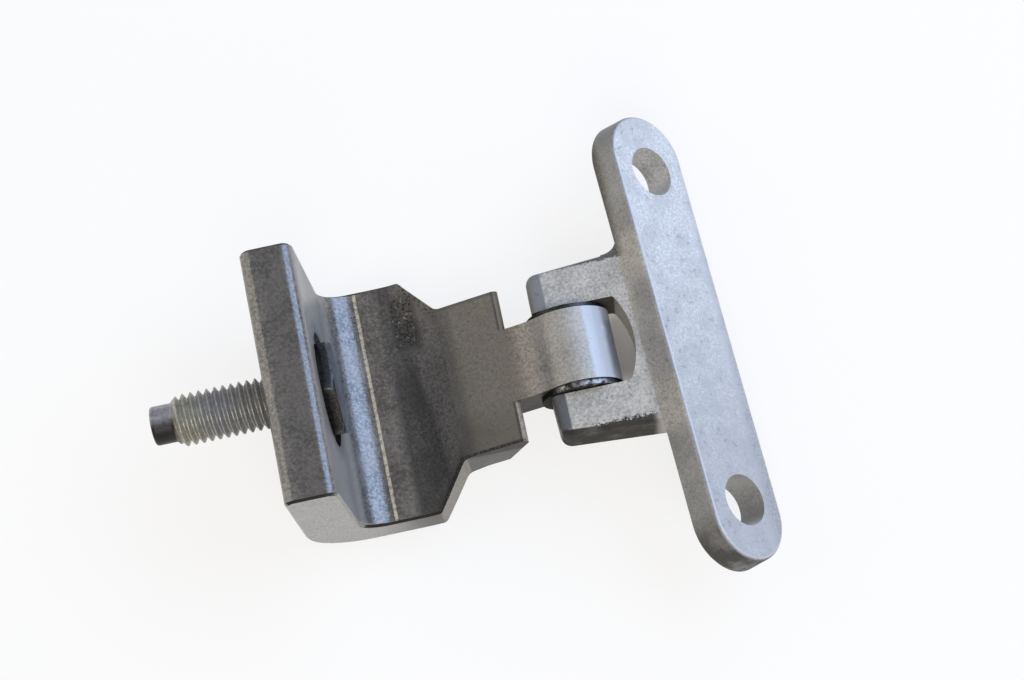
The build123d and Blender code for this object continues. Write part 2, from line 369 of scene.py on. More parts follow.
def web_arrays(plate):
    """Hollow web by the far ear: a quarter arc from the ear's side to the bar's back, carried down a slope.

    At turn t the arc is at (corner - r (1 - sin t), side + r (1 - cos t)), and the corner moves out by the
    slope times the drop. The back is an L sunk in the ear and the bar. The ends close on the wall's middle.
    """
    turn = np.linspace(0, np.pi / 2, WEB_STEPS)
    half = turn / (np.pi / 4)
    corner = (HINGE.x + plate.web_reach + plate.web_slope * WEB_DROP)[:, None]
    radius, sunk = plate.web_radius, plate.web_sunk
    arc_x = corner - radius * (1 - np.sin(turn))
    arc_y = np.broadcast_to(plate.web_side + radius * (1 - np.cos(turn)), arc_x.shape)
    back_x = np.minimum(corner + sunk, corner - radius + (radius + sunk) * half)
    outward = np.broadcast_to(np.maximum(0.0, (radius + sunk) * (half - 1)), arc_x.shape)
    back_y = plate.web_side - sunk + outward
    loops = [np.concatenate([arc, back[:, ::-1]], 1) for arc, back in ((arc_x, back_x), (arc_y, back_y))]
    middles = [np.concatenate([m, m[:, ::-1]], 1) for m in ((arc_x + back_x) / 2, (arc_y + back_y) / 2)]
    x, y = (loop + WEB_DRAW * (middle - loop) for loop, middle in zip(loops, middles))
    z = np.broadcast_to((plate.web_top - WEB_DROP)[:, None], x.shape)
    return np.stack([x, y, z], -1).reshape(-1, 3), grid_faces(len(WEB_DROP), x.shape[1])


class Nodes:
    """Adds nodes to one tree. A value is a socket or a number, and a colour is a socket or three numbers."""

    def __init__(self, tree):
        self.tree = tree
        self.split = {}

    def feed(self, socket, value):
        """Links a value or a colour to a socket, or sets it there."""
        if isinstance(value, bpy.types.NodeSocket):
            self.tree.links.new(value, socket)
        else:
            socket.default_value = (*value, 1.0) if socket.type == "RGBA" else value

    def compute(self, operation, *values):
        """One math node."""
        node = self.tree.nodes.new("ShaderNodeMath")
        node.operation = operation
        for socket, value in zip(node.inputs, values):
            self.feed(socket, value)
        return node.outputs[0]

    def chain(self, operation, values):
        """One operation carried through several values."""
        result = values[0]
        for value in values[1:]:
            result = self.compute(operation, result, value)
        return result

    def total(self, *values):
        """The sum of several values."""
        return self.chain("ADD", values)

    def less(self, *values):
        """The first value less the others."""
        return self.chain("SUBTRACT", values)

    def product(self, *values):
        """The product of several values."""
        return self.chain("MULTIPLY", values)

    def largest(self, *values):
        """The largest of several values."""
        return self.chain("MAXIMUM", values)

    def distance(self, first, second):
        """The root of the sum of two squares."""
        return self.compute("SQRT", self.total(self.product(first, first), self.product(second, second)))

    def fade(self, value, low, high, start=0.0, end=1.0):
        """Goes smoothly from start where the value is low to end where it is high; low may be the greater."""
        node = self.tree.nodes.new("ShaderNodeMapRange")
        node.interpolation_type = "SMOOTHSTEP"
        for label, number in (("From Min", low), ("From Max", high), ("To Min", start), ("To Max", end)):
            node.inputs[label].default_value = number
        self.tree.links.new(value, node.inputs["Value"])
        return node.outputs["Result"]

    def band(self, value, low, high, soft):
        """One between low and high, falling to nothing over a soft width outside them."""
        return self.product(self.fade(value, low - soft, low), self.fade(value, high + soft, high))

    def mix(self, factor, first, second):
        """A mix of two colours."""
        node = self.tree.nodes.new("ShaderNodeMix")
        node.data_type = "RGBA"
        self.feed(node.inputs["Factor"], factor)
        for socket, colour in zip([s for s in node.inputs if s.type == "RGBA"], (first, second)):
            self.feed(socket, colour)
        return [s for s in node.outputs if s.type == "RGBA"][0]

    def layered(self, colour, *layers):
        """A colour with others laid over it in turn, each by its mask."""
        for mask, tone in layers:
            colour = self.mix(mask, colour, tone)
        return colour

    def coordinate(self, kind):
        """The place on the piece, for Object, or the way that its surface faces, for Normal."""
        return self.tree.nodes.new("ShaderNodeTexCoord").outputs[kind]

    def axes(self, kind):
        """The X, Y and Z parts of a coordinate, split once for each tree."""
        if kind not in self.split:
            node = self.tree.nodes.new("ShaderNodeSeparateXYZ")
            self.tree.links.new(self.coordinate(kind), node.inputs[0])
            self.split[kind] = node.outputs[:3]
        return self.split[kind]

    def along(self, kind, direction, start=0.0):
        """A coordinate's length along a direction, counted from start."""
        node = self.tree.nodes.new("ShaderNodeVectorMath")
        node.operation = "DOT_PRODUCT"
        self.tree.links.new(self.coordinate(kind), node.inputs[0])
        node.inputs[1].default_value = direction
        return self.less(node.outputs["Value"], start)


# The shared grain: noise values between which a speck comes up, and heights beside the grain's.
SPECK_FADE = (0.60, 0.70)
MOTTLE_HEIGHT = 0.35
SPECK_DEPTH = 0.5


def metal_grain_group():
    """Grain, broad mottling and sparse specks of a used metal surface, and the height that they give it."""
    group = bpy.data.node_groups.new("metal_grain", "ShaderNodeTree")
    for label, default in (("Grain Scale", 2200.0), ("Mottle Scale", 120.0), ("Speck Scale", 1500.0)):
        socket = group.interface.new_socket(label, in_out="INPUT", socket_type="NodeSocketFloat")
        socket.default_value = default
    for label in ("Grain", "Mottle", "Speck", "Height"):
        group.interface.new_socket(label, in_out="OUTPUT", socket_type="NodeSocketFloat")
    source, sink = group.nodes.new("NodeGroupInput"), group.nodes.new("NodeGroupOutput")
    nodes = Nodes(group)
    place = nodes.coordinate("Object")
    marks = {}
    for label, detail, roughness in (("Grain", 3.0, 0.6), ("Mottle", 4.0, 0.6), ("Speck", 2.0, 0.5)):
        noise = group.nodes.new("ShaderNodeTexNoise")
        nodes.feed(noise.inputs["Detail"], detail)
        nodes.feed(noise.inputs["Roughness"], roughness)
        nodes.feed(noise.inputs["Vector"], place)
        nodes.feed(noise.inputs["Scale"], source.outputs[label + " Scale"])
        marks[label] = noise.outputs["Fac"]
    marks["Speck"] = nodes.fade(marks["Speck"], *SPECK_FADE)
    raised = nodes.total(nodes.product(marks["Mottle"], MOTTLE_HEIGHT), marks["Grain"])
    marks["Height"] = nodes.less(raised, nodes.product(marks["Speck"], SPECK_DEPTH))
    for label, value in marks.items():
        nodes.feed(sink.inputs[label], value)
    return group


class Metal(Nodes):
    """A metal material in the making. Its scales are for the shared group's grain, mottling and specks."""

    bump_distance = 0.05 * MM
    grain_share = 0.65
    shade_fade = (0.34, 0.66)

    def __init__(self, name, scales, bump):
        self.material = bpy.data.materials.new(name)
        self.material.use_nodes = True
        super().__init__(self.material.node_tree)
        self.shader = self.tree.nodes["Principled BSDF"]
        marks = self.tree.nodes.new("ShaderNodeGroup")
        marks.node_tree = bpy.data.node_groups.get("metal_grain") or metal_grain_group()
        for socket, scale in zip(marks.inputs, scales):
            socket.default_value = scale
        lift = self.tree.nodes.new("ShaderNodeBump")
        self.feed(lift.inputs["Strength"], bump)
        self.feed(lift.inputs["Distance"], self.bump_distance)
        self.feed(lift.inputs["Height"], marks.outputs["Height"])
        self.feed(self.shader.inputs["Normal"], lift.outputs["Normal"])
        self.grain, self.mottle, self.speck = (marks.outputs[label] for label in ("Grain", "Mottle", "Speck"))

    def shade(self, colour, amount):
        """The colour times one plus or minus amount, by grain and mottling."""
        grain = self.product(self.grain, self.grain_share)
        mixed = self.total(grain, self.product(self.mottle, 1 - self.grain_share))
        dark = [part * (1 - amount) for part in colour]
        light = [min(1.0, part * (1 + amount)) for part in colour]
        return self.mix(self.fade(mixed, *self.shade_fade), dark, light)

    def finished(self, colour, metallic, roughness):
        """The material, with its colour, metallic share and roughness in place."""
        self.feed(self.shader.inputs["Base Color"], colour)
        self.feed(self.shader.inputs["Metallic"], metallic)
        self.feed(self.shader.inputs["Roughness"], roughness)
        return self.material


def mm(*lengths):
    """Lengths in metres, given in millimetres."""
    return [length * MM for length in lengths]


def from_hinge(*places):
    """Places along X in metres, given in millimetres from the hinge pin's axis."""
    return [HINGE.x + place * MM for place in places]


# Marks of the stud leaf along X: each fades in from the first place to the second. Where a third length
# follows, the mark lies between the two places, and the length is its soft width.
FLOOR_WARM = from_hinge(-33.0, -31.8)
# Painted highlight: a gold glint along the groove's floor, between these places.
FLOOR_GLINT = from_hinge(-32.18, -31.86) + mm(0.18)
# Grime and painted shade on the ramp: a dark band at its foot, partly dirt and partly painted shade.
RAMP_GRIME_AND_SHADE_START = from_hinge(-29.6, -27.6)
RAMP_GRIME_AND_SHADE_STOP = from_hinge(-22.6, -24.6)
RAMP_ROUGH = from_hinge(-27.0, -19.0) + mm(2.0)
SHOULDER_SMEAR = from_hinge(-26.5, -20.5) + mm(1.5)
SHOULDER_BEVEL = from_hinge(-31.0, -20.5) + mm(0.8)
SHOULDER_RISE = from_hinge(-28.0, -21.5)
PITTED_X = from_hinge(-26.5, -23.5) + mm(1.5)
END_OIL = from_hinge(-37.0, -26.0)
END_LINE_START = from_hinge(-29.0, -26.0)
END_LINE_STOP = from_hinge(-8.4, -9.0)
END_GRIME = from_hinge(-10.5, -9.5)
NECK = from_hinge(-21.0, -10.0) + mm(3.0)
NECK_LIP = from_hinge(-20.0, -9.6) + mm(0.5)
STEP = from_hinge(-10.4, -8.0) + mm(0.2)
TONGUE_WORN = from_hinge(-9.0, 2.0)
# Painted highlight and painted light on the knuckle. From the first span its right side is painted lighter where
# the window's highlight runs. From the second span it is painted lighter still where the bar shades it.
KNUCKLE_HIGHLIGHT = from_hinge(2.2, 2.9)
KNUCKLE_LIT_SIDE = from_hinge(4.2, 5.4)
CREST_SHADE = mm(3.6, 6.6, 2.2)

# Marks of the stud leaf across Y and up Z, and by distance from its shoulders' line and the stud's axis.
NEAR_TO_FAR = mm(-2.0, 2.0)
NECK_NEAR = mm(-4.0, -9.0)
NECK_LIP_SIDE = mm(11.95, 12.6, 0.2)
PITTED_Y = mm(9.0, 16.0, 3.0)
CREST_HEIGHT = mm(12.0, 13.0)
SHOULDER_HEIGHT = mm(-14.0, -10.4)
SHOULDER_JAG = 0.8 * MM
END_LINE_DEPTH = mm(0.35, 0.05)
RAMP_SLANT = 0.12
SHOULDER_X, SHOULDER_Y = HINGE.x - 25.2 * MM, 19.5 * MM
SHOULDER_NORMAL_X, SHOULDER_NORMAL_Y = 0.79, 0.61
SMEAR_REACH = mm(-2.6, -0.3)
BEVEL_REACH = mm(-1.0, -0.55)
# Painted shadow round the stud's head fades in between these distances from the stud's axis.
HEAD_POCKET_SHADOW = mm(12.0, 7.6)

# Colours of the stud leaf's parts.
LEAF_BROWN = (0.24, 0.205, 0.175)
LEAF_WARM = (0.262, 0.232, 0.195)
NECK_DARK = (0.125, 0.115, 0.1)
TONGUE_PALE = (0.44, 0.41, 0.355)
# Painted highlight grey and painted light of the knuckle's right side.
KNUCKLE_HIGHLIGHT_GREY = (0.57, 0.575, 0.58)
KNUCKLE_PAINTED_LIGHT = (0.96, 0.95, 0.94)
WALL_BROWN = (0.375, 0.335, 0.285)
STEP_NEAR = (0.33, 0.268, 0.19)
STEP_FAR = (0.17, 0.125, 0.075)
# Painted shade of the lip's top.
LIP_TOP_SHADE = (0.115, 0.105, 0.096)
END_GREY = (0.36, 0.352, 0.338)
END_OILED = (0.09, 0.083, 0.075)
CHIP_GREY = (0.42, 0.41, 0.39)
# Colour of the painted highlight along the groove's floor.
GOLD_GLINT = (0.98, 0.86, 0.66)

# The stud leaf's sheen: metallic share, what a dull part loses of it, roughness, and what a coarse part adds.
LEAF_METALLIC, LEAF_DULLING = 0.72, 0.6
LEAF_ROUGHNESS, LEAF_COARSENING = (0.20, 0.32), 0.22
LEAF_SPECULAR = 0.25


def leaf_parts(metal):
    """Masks of the stud leaf's parts, by where the surface lies and the way that it faces."""
    x, y, _ = metal.axes("Object")
    nx, ny, _ = metal.axes("Normal")
    tilt = metal.compute("ABSOLUTE", ny)
    return {
        "tilt": tilt,
        "side": metal.compute("ABSOLUTE", y),
        "far": metal.fade(y, *NEAR_TO_FAR),
        "ends": metal.fade(tilt, 0.93, 0.985),
        "oiled": metal.fade(x, *END_OIL),
        "wall": metal.fade(nx, 0.75, 0.92),
        "step": metal.product(metal.band(x, *STEP), metal.fade(nx, 0.1, 0.3)),
        "tongue": metal.fade(x, *TONGUE_WORN),
        # Painted light: the knuckle's right side, where the bar shades it.
        "tip": metal.fade(x, *KNUCKLE_LIT_SIDE),
        "pitted": metal.product(metal.band(x, *PITTED_X), metal.band(y, *PITTED_Y)),
    }


def leaf_tones(metal, finish, part):
    """Colour of the clean stud leaf: satin steel with brown patches, and over it the tone of each part, with
    painted shade on the lip's top and painted light on the knuckle's right side.
    """
    x, y, z = metal.axes("Object")
    nz = metal.axes("Normal")[2]
    patchy = metal.fade(metal.mottle, 0.35, 0.65)
    warm = metal.fade(x, *FLOOR_WARM)
    neck = metal.product(
        metal.band(x, *NECK), metal.fade(nz, 0.8, 0.95), metal.fade(y, *NECK_NEAR, 0.68, 0.9)
    )
    # Painted shade: the lip's top is painted darker, standing in for the dark room overhead that it reflects.
    crest = metal.product(
        metal.fade(z, *CREST_HEIGHT), metal.fade(nz, 0.6, 0.9), metal.band(x, *CREST_SHADE), 0.32
    )
    end_tone = metal.layered(
        metal.shade(END_GREY, 0.28),
        (metal.product(part["oiled"], 0.85), END_OILED),
        (metal.fade(x, *END_GRIME, 0.0, 0.9), finish.grime_and_shade_colour),
    )
    return metal.layered(
        metal.shade(finish.leaf_colour, 0.42),
        (metal.product(patchy, 0.35), LEAF_BROWN),
        (metal.product(warm, 0.6), metal.shade(LEAF_WARM, 0.42)),
        (neck, NECK_DARK),
        (part["tongue"], metal.shade(TONGUE_PALE, 0.2)),
        # Painted highlight and painted light on the knuckle's right side.
        (metal.fade(x, *KNUCKLE_HIGHLIGHT), KNUCKLE_HIGHLIGHT_GREY),
        (part["tip"], KNUCKLE_PAINTED_LIGHT),
        (metal.product(part["wall"], 0.6), WALL_BROWN),
        (part["step"], metal.mix(part["far"], metal.shade(STEP_NEAR, 0.3), STEP_FAR)),
        # Painted shade on the lip's top.
        (crest, LIP_TOP_SHADE),
        (part["ends"], end_tone),
    )


def leaf_dirt_and_shade(metal, part):
    """Grime of the stud leaf on its shoulders, neck and ends, in pits and on rims; grime and painted shade on its
    ramp; painted shadow round the stud's head.
    """
    x, y, z = metal.axes("Object")
    nx, _, nz = metal.axes("Normal")
    gritty = metal.fade(metal.grain, 0.42, 0.62)
    upward = metal.fade(nz, 0.5, 0.8)
    # Grime and painted shade: the ramp's dark band, partly dirt and partly standing in for the shade at the ramp's
    # foot.
    ramp = metal.product(
        metal.fade(x, *RAMP_GRIME_AND_SHADE_START),
        metal.fade(metal.total(x, metal.product(y, RAMP_SLANT)), *RAMP_GRIME_AND_SHADE_STOP),
        metal.fade(nz, 0.5, 0.7),
        metal.fade(metal.mottle, 0.3, 0.6, 0.34, 0.72),
    )
    from_shoulder = metal.total(
        metal.product(metal.less(x, SHOULDER_X), SHOULDER_NORMAL_X),
        metal.product(metal.less(part["side"], SHOULDER_Y), SHOULDER_NORMAL_Y),
    )
    smear = metal.product(
        metal.fade(from_shoulder, *SMEAR_REACH), metal.band(x, *SHOULDER_SMEAR), gritty, upward
    )
    bevel = metal.product(
        metal.fade(from_shoulder, *BEVEL_REACH),
        metal.fade(part["far"], 1.0, 0.0),
        metal.band(x, *SHOULDER_BEVEL),
        upward,
        metal.fade(metal.grain, 0.36, 0.54, 0.5, 1.0),
    )
    lips = metal.product(
        metal.band(part["side"], *NECK_LIP_SIDE),
        metal.band(x, *NECK_LIP),
        metal.fade(nz, 0.6, 0.8),
        metal.fade(metal.grain, 0.38, 0.56, 0.3, 1.0),
        metal.fade(part["far"], 0.0, 1.0, 1.0, 0.35),
    )
    top = metal.fade(x, *SHOULDER_RISE, *SHOULDER_HEIGHT)
    below_top = metal.less(top, z, metal.product(metal.grain, SHOULDER_JAG))
    end_line = metal.product(
        part["ends"],
        metal.fade(below_top, *END_LINE_DEPTH),
        metal.fade(x, *END_LINE_START),
        metal.fade(x, *END_LINE_STOP),
    )
    rims = metal.product(
        metal.band(part["tilt"], 0.55, 0.85, 0.08),
        metal.fade(nz, 0.3, 0.45),
        metal.fade(metal.mottle, 0.3, 0.5, 0.6, 1.0),
    )
    # Painted shadow: a dark ring on the wall round the stud's head, where its seat pocket lies in shadow.
    head_pocket_shadow = metal.product(
        metal.fade(metal.distance(y, z), *HEAD_POCKET_SHADOW),
        metal.fade(nx, 0.6, 0.9),
        metal.fade(metal.mottle, 0.3, 0.6, 0.3, 0.75),
    )
    return metal.largest(
        ramp,
        metal.product(metal.largest(end_line, lips, bevel), 0.9),
        metal.product(smear, 0.9),
        metal.product(part["pitted"], metal.fade(gritty, 0.0, 1.0, 0.5, 0.95)),
        rims,
        head_pocket_shadow,
        metal.product(metal.speck, 0.10),
    )


def leaf_steel(finish):
    """Satin steel of the stud leaf: its parts' tones under grime and painted shade, chips in the pits and a
    painted gold highlight on the floor.
    """
    metal = Metal("leaf_steel", scales=(2300.0, 170.0, 1500.0), bump=0.35)
    x = metal.axes("Object")[0]
    part = leaf_parts(metal)
    dirt = leaf_dirt_and_shade(metal, part)
    # Painted highlight: a sparkling gold line along the groove's floor, standing in for the window's reflection
    # there.
    line = metal.product(
        metal.band(x, *FLOOR_GLINT),
        metal.fade(metal.axes("Normal")[2], 0.8, 0.9),
        metal.fade(metal.grain, 0.36, 0.56, 0.4, 1.0),
    )
    colour = metal.layered(
        leaf_tones(metal, finish, part),
        # Grime, with painted shade on the ramp and painted shadow round the stud's head.
        (dirt, finish.grime_and_shade_colour),
        (metal.product(part["pitted"], metal.speck, 0.6), CHIP_GREY),
        (line, GOLD_GLINT),
    )
    dull = metal.largest(
        metal.product(part["tongue"], 0.8),
        metal.product(part["ends"], 0.6),
        metal.product(part["wall"], 0.6),
        part["step"],
        metal.product(part["tip"], 1.2),
        metal.product(part["ends"], part["oiled"], 1.1),
    )
    metallic = metal.less(LEAF_METALLIC, metal.product(dull, LEAF_DULLING))
    coarse = metal.largest(dirt, dull, metal.band(x, *RAMP_ROUGH))
    rough = metal.fade(metal.mottle, 0.3, 0.7, *LEAF_ROUGHNESS)
    rough = metal.total(rough, metal.product(coarse, LEAF_COARSENING))
    metal.feed(metal.shader.inputs["Specular IOR Level"], LEAF_SPECULAR)
    return metal.finished(colour, metallic, rough)


# Marks of the plate leaf along X, from the hinge pin: each fades in from the first place to the second.
EARS = from_hinge(11.5, 9.5)
# Painted shade: from here the ears' left ends, which turn away from the light, are painted darker.
EAR_END_SHADE = from_hinge(-2.4, -2.8)
JAGGED_START = from_hinge(-1.0, 1.5)

# Marks of the plate leaf across Y, and how far the grain frays two of them.
FAR_TO_NEAR = mm(2.0, -2.0)
EAR_ROOTS = mm(10.0, 14.5, 3.0)
NEAR_EAR_END = mm(-11.0, -12.0)
NEAR_EAR_JAG = mm(-11.4, -11.8)
FAR_EAR_LINE = mm(12.0, 12.3)
# Grime and painted shade on the slot's inner walls lie inside these distances from the middle.
SLOT_SIDES = mm(7.4, 7.1)
NEAR_FRAY = 2.2 * MM
FAR_FRAY = 1.6 * MM

# Marks of the bar along and across its face, from the middle, and its bolt holes.
BAR_DARKENING = mm(26.0, -34.0)
BAR_RIGHT = mm(4.5, 7.2)
BAR_LOW_END = mm(-27.0, -34.0)
BAR_TOP_END = mm(30.0, 35.0)
HOLE_FROM_MIDDLE = 27.3 * MM
HOLE_REACH = mm(5.2, 4.7)
NEAR_BORE = mm(-25.0, -31.0)
NEAR_TO_FAR_HOLE = mm(-5.0, 5.0)

# Colours of the plate leaf's parts.
CAST_WALL = (0.315, 0.303, 0.283)
# Painted shade of the ears' left ends, far and near.
EAR_END_SHADE_FAR = (0.22, 0.218, 0.205)
EAR_END_SHADE_NEAR = (0.115, 0.113, 0.112)
FACE_PATCH = (0.42, 0.42, 0.425)
FACE_DARK = (0.36, 0.355, 0.35)
FACE_PIT = (0.22, 0.21, 0.20)
FACE_RIM = (0.56, 0.545, 0.52)
NEAR_BORE_DARK = (0.34, 0.34, 0.325)
NEAR_BORE_PALE = (0.80, 0.775, 0.74)
FAR_BORE = (0.57, 0.55, 0.525)

# The plate leaf's sheen: metallic share, what the bar's face adds to it, and roughness, clean and in grime.
CAST_METALLIC, FACE_METALLIC = 0.22, 0.26
CAST_ROUGHNESS, GRIME_ROUGHNESS = (0.40, 0.58), 0.95


def cast_parts(metal):
    """Masks of the plate leaf's parts, by where the surface lies and the way that it faces."""
    x, y, _ = metal.axes("Object")
    facing = metal.along("Normal", BAR_NORMAL)
    across = metal.along("Object", BAR_ACROSS, BAR_CENTRE.dot(BAR_ACROSS))
    along = metal.along("Object", BAR_ALONG, BAR_CENTRE.dot(BAR_ALONG))
    from_hole = metal.distance(metal.less(metal.compute("ABSOLUTE", along), HOLE_FROM_MIDDLE), across)
    return {
        "facing": facing,
        "across": across,
        "along": along,
        "side": metal.compute("ABSOLUTE", y),
        "ears": metal.fade(x, *EARS),
        "face": metal.fade(facing, 0.93, 0.99),
        "rim": metal.fade(facing, 0.74, 0.88),
        "hole": metal.product(metal.fade(from_hole, *HOLE_REACH), metal.fade(facing, 0.6, 0.3)),
    }


def cast_tones(metal, finish, part):
    """Colour of the clean casting: grey walls, sandy ears with painted shade on their left ends, a bright patchy
    bar face, its rim and bores.
    """
    x, y, _ = metal.axes("Object")
    gritty = metal.fade(metal.grain, 0.40, 0.60)
    patchy = metal.fade(metal.mottle, 0.35, 0.65)
    roots = metal.product(metal.band(part["side"], *EAR_ROOTS), 0.7)
    right = metal.product(metal.fade(part["across"], *BAR_RIGHT), gritty, 0.5)
    pits = metal.product(metal.speck, patchy, 0.5)
    bright = metal.layered(
        metal.shade(finish.zinc_colour, 0.22),
        (metal.product(patchy, 0.55), FACE_PATCH),
        (metal.fade(part["along"], *BAR_DARKENING, 0.0, 0.56), FACE_DARK),
        (metal.largest(pits, right), FACE_PIT),
    )
    near_bore = metal.mix(metal.fade(part["along"], *NEAR_BORE), NEAR_BORE_DARK, NEAR_BORE_PALE)
    bore = metal.mix(metal.fade(part["along"], *NEAR_TO_FAR_HOLE), near_bore, metal.shade(FAR_BORE, 0.30))
    return metal.layered(
        metal.shade(CAST_WALL, 0.22),
        (metal.largest(part["ears"], roots), metal.shade(finish.cast_colour, 0.30)),
        # Painted shade on the ears' left ends, darker on the near ear.
        (metal.fade(x, *EAR_END_SHADE), metal.mix(metal.fade(y, *FAR_TO_NEAR), EAR_END_SHADE_FAR, EAR_END_SHADE_NEAR)),
        (part["rim"], FACE_RIM),
        (part["face"], bright),
        (part["hole"], bore),
    )


def cast_dirt_and_shade(metal, part):
    """Grime of the casting: on the bar's two ends and along the ears' outer edges; grime and painted shade in
    their slot.
    """
    x, y, _ = metal.axes("Object")
    _, ny, nz = metal.axes("Normal")
    off_face = metal.fade(part["facing"], 0.7, 0.4)
    upward = metal.fade(nz, 0.2, 0.4)
    low_end = metal.product(
        metal.fade(part["along"], *BAR_LOW_END), off_face, metal.fade(metal.mottle, 0.3, 0.6, 0.35, 0.85)
    )
    top_end = metal.product(metal.fade(part["along"], *BAR_TOP_END), off_face, 0.4)
    near_end = metal.product(
        part["ears"],
        metal.fade(ny, -0.35, -0.6),
        metal.fade(y, *NEAR_EAR_END),
        metal.fade(metal.mottle, 0.3, 0.6, 0.82, 0.98),
    )
    jagged = metal.product(
        part["ears"],
        metal.fade(metal.total(y, metal.product(metal.grain, NEAR_FRAY)), *NEAR_EAR_JAG),
        upward,
        metal.fade(x, *JAGGED_START),
    )
    far_line = metal.product(
        part["ears"],
        metal.fade(metal.less(y, metal.product(metal.grain, FAR_FRAY)), *FAR_EAR_LINE),
        metal.fade(ny, 0.9, 0.7),
        upward,
    )
    # Grime and painted shade: the slot's inner walls are painted near black, partly dirty and partly in the shade
    # between the ears.
    slot = metal.product(
        part["ears"],
        metal.fade(part["side"], *SLOT_SIDES),
        metal.fade(metal.compute("ABSOLUTE", ny), 0.5, 0.8),
    )
    return metal.largest(
        metal.product(metal.largest(low_end, top_end), metal.less(1.0, part["hole"])),
        near_end,
        metal.product(jagged, 0.95),
        metal.product(far_line, 0.75),
        metal.product(slot, 0.9),
        metal.product(metal.speck, 0.22),
    )


def zinc_cast(finish):
    """Cast zinc of the plate leaf: its parts' tones under grime and the slot's painted shade, which are kept off
    the bar's bright face.
    """
    metal = Metal("zinc_cast", scales=(2600.0, 240.0, 1100.0), bump=0.7)
    part = cast_parts(metal)
    dirt = cast_dirt_and_shade(metal, part)
    # Grime of the casting and painted shade in the slot, kept off the bar's bright face.
    dirt_and_slot_shade = metal.product(dirt, metal.less(1.0, part["face"]))
    colour = metal.layered(cast_tones(metal, finish, part), (dirt_and_slot_shade, finish.grime_and_shade_colour))
    metallic = metal.total(CAST_METALLIC, metal.product(part["face"], FACE_METALLIC))
    rough = metal.fade(metal.grain, 0.3, 0.7, *CAST_ROUGHNESS)
    rough = metal.largest(rough, metal.product(dirt, GRIME_ROUGHNESS))
    return metal.finished(colour, metallic, rough)


# Marks of the stud along X and across Y, its colours beside the thread's, and its sheen.
STUD_YELLOWING = (-0.55 * THREAD_LENGTH, -0.85 * THREAD_LENGTH)
STUD_POINT = (-THREAD_LENGTH + 0.6 * MM, -THREAD_LENGTH - 0.2 * MM)
POINT_BLACKENING = mm(1.2, -0.6)
POINT_JAG = 1.5 * MM
STUD_YELLOW = (0.415, 0.40, 0.33)
POINT_GREY = (0.34, 0.33, 0.34)
HEAD_BLACK = (0.075, 0.074, 0.073)
STUD_METALLIC, STUD_ROUGHNESS = (0.45, 0.75), 0.42
HEAD_ROUGHNESS = 0.35


def stud_zinc(finish):
    """Plated thread: mid grey, yellowed towards the point, whose far side is grey and near side black."""
    metal = Metal("stud_zinc", scales=(2200.0, 500.0, 1500.0), bump=0.3)
    x, y, _ = metal.axes("Object")
    black = metal.fade(metal.total(y, metal.product(metal.mottle, POINT_JAG)), *POINT_BLACKENING)
    colour = metal.layered(
        metal.shade(finish.stud_colour, 0.25),
        (metal.fade(x, *STUD_YELLOWING), metal.shade(STUD_YELLOW, 0.25)),
        (metal.fade(x, *STUD_POINT), metal.mix(black, metal.shade(POINT_GREY, 0.3), finish.tip_colour)),
    )
    return metal.finished(colour, metal.fade(metal.mottle, 0.3, 0.7, *STUD_METALLIC), STUD_ROUGHNESS)


def plain_steel(name, colour, roughness):
    """Grained steel of the stud's head, the pin and the far bush."""
    metal = Metal(name, scales=(2600.0, 500.0, 1500.0), bump=0.5)
    return metal.finished(metal.shade(colour, 0.45), 1.0, roughness)


# The pin's and bushes' colours and roughness, and where the near bush turns grimy, along X.
PIN_GREY = (0.30, 0.29, 0.27)
BUSH_BRIGHT = (0.50, 0.49, 0.47)
BUSH_OILY = (0.06, 0.057, 0.053)
PIN_ROUGHNESS, OILY_ROUGHNESS, BUSH_ROUGHNESS = 0.4, 0.4, (0.35, 0.7)
BUSH_GRIME = from_hinge(-2.5, -4.5)


def bush_steel(finish):
    """Steel of the near bush: bright glints broken by grime, all grime on the side towards the neck."""
    metal = Metal("bush_steel", scales=(2600.0, 700.0, 1500.0), bump=0.5)
    x = metal.axes("Object")[0]
    dirt = metal.largest(metal.fade(x, *BUSH_GRIME), metal.fade(metal.mottle, 0.42, 0.56, 0.15, 0.95))
    colour = metal.mix(dirt, metal.shade(BUSH_BRIGHT, 0.45), finish.grime_and_shade_colour)
    return metal.finished(colour, 1.0, metal.fade(dirt, 0.0, 1.0, *BUSH_ROUGHNESS))


def dress(node, material):
    """Puts a material on a CAD node."""
    target = frame["nodes"][node]
    target.data.materials.clear()
    target.data.materials.append(material)


class HINGE_OT_clamp_stud(bpy.types.Operator):
    """Threaded clamp stud with its hexagon head"""

    bl_idname = "hinge.clamp_stud"
    bl_label = "Clamp stud"

    def execute(self, context):
        points, quads = stud_arrays(context.scene.hinge_stud)
        head_points, head_quads = head_arrays(context.scene.hinge_stud)
        piece = add_mesh(
            "clamp_stud_thread",
            np.concatenate([points, head_points]),
            np.concatenate([quads, head_quads + len(points)]),
            np.concatenate([np.zeros(len(quads)), np.ones(len(head_quads))]),
        )
        piece.data.materials.append(stud_zinc(context.scene.hinge_finish))
        piece.data.materials.append(plain_steel("stud_head", HEAD_BLACK, HEAD_ROUGHNESS))
        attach(piece, "frame_side")
        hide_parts("clamp_stud")
        return {"FINISHED"}


class HINGE_OT_stud_leaf(bpy.types.Operator):
    """Satin steel on the stud leaf, and the hollow blend at the foot of its lip"""

    bl_idname = "hinge.stud_leaf"
    bl_label = "Stud leaf finish"

    def execute(self, context):
        steel = leaf_steel(context.scene.hinge_finish)
        dress("stud_leaf", steel)
        blend = add_mesh("groove_blend", *blend_arrays(context.scene.hinge_leaf))
        blend.data.materials.append(steel)
        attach(blend, "frame_side")
        return {"FINISHED"}


